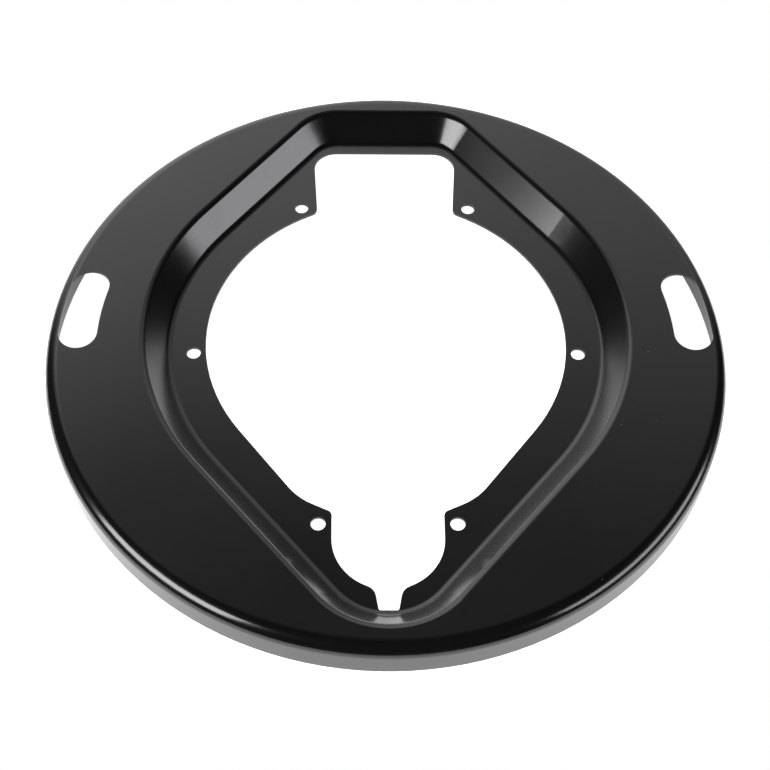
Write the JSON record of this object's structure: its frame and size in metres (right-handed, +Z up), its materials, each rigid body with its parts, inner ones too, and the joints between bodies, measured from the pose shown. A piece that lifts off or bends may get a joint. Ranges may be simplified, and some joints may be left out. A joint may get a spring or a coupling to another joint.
{
  "type": "recessed ring cover plate",
  "caption": "Round pressed plate with a rolled-down rim, a sunken flange around a large opening, bolt holes and two curved hand slots.",
  "frame": {"origin": "centre of the circle that the rim's bottom edge stands on", "axes": "+Z up out of the top face, +Y towards the wide end of the recess, -Y towards its narrow end, X across the two hand slots"},
  "size_m": [0.4299, 0.43, 0.025],
  "materials": {
    "black_paint": "semi-gloss black coating"
  },
  "bodies": {
    "root": {"cover_plate": "black_paint"}
  },
  "joints": []
}
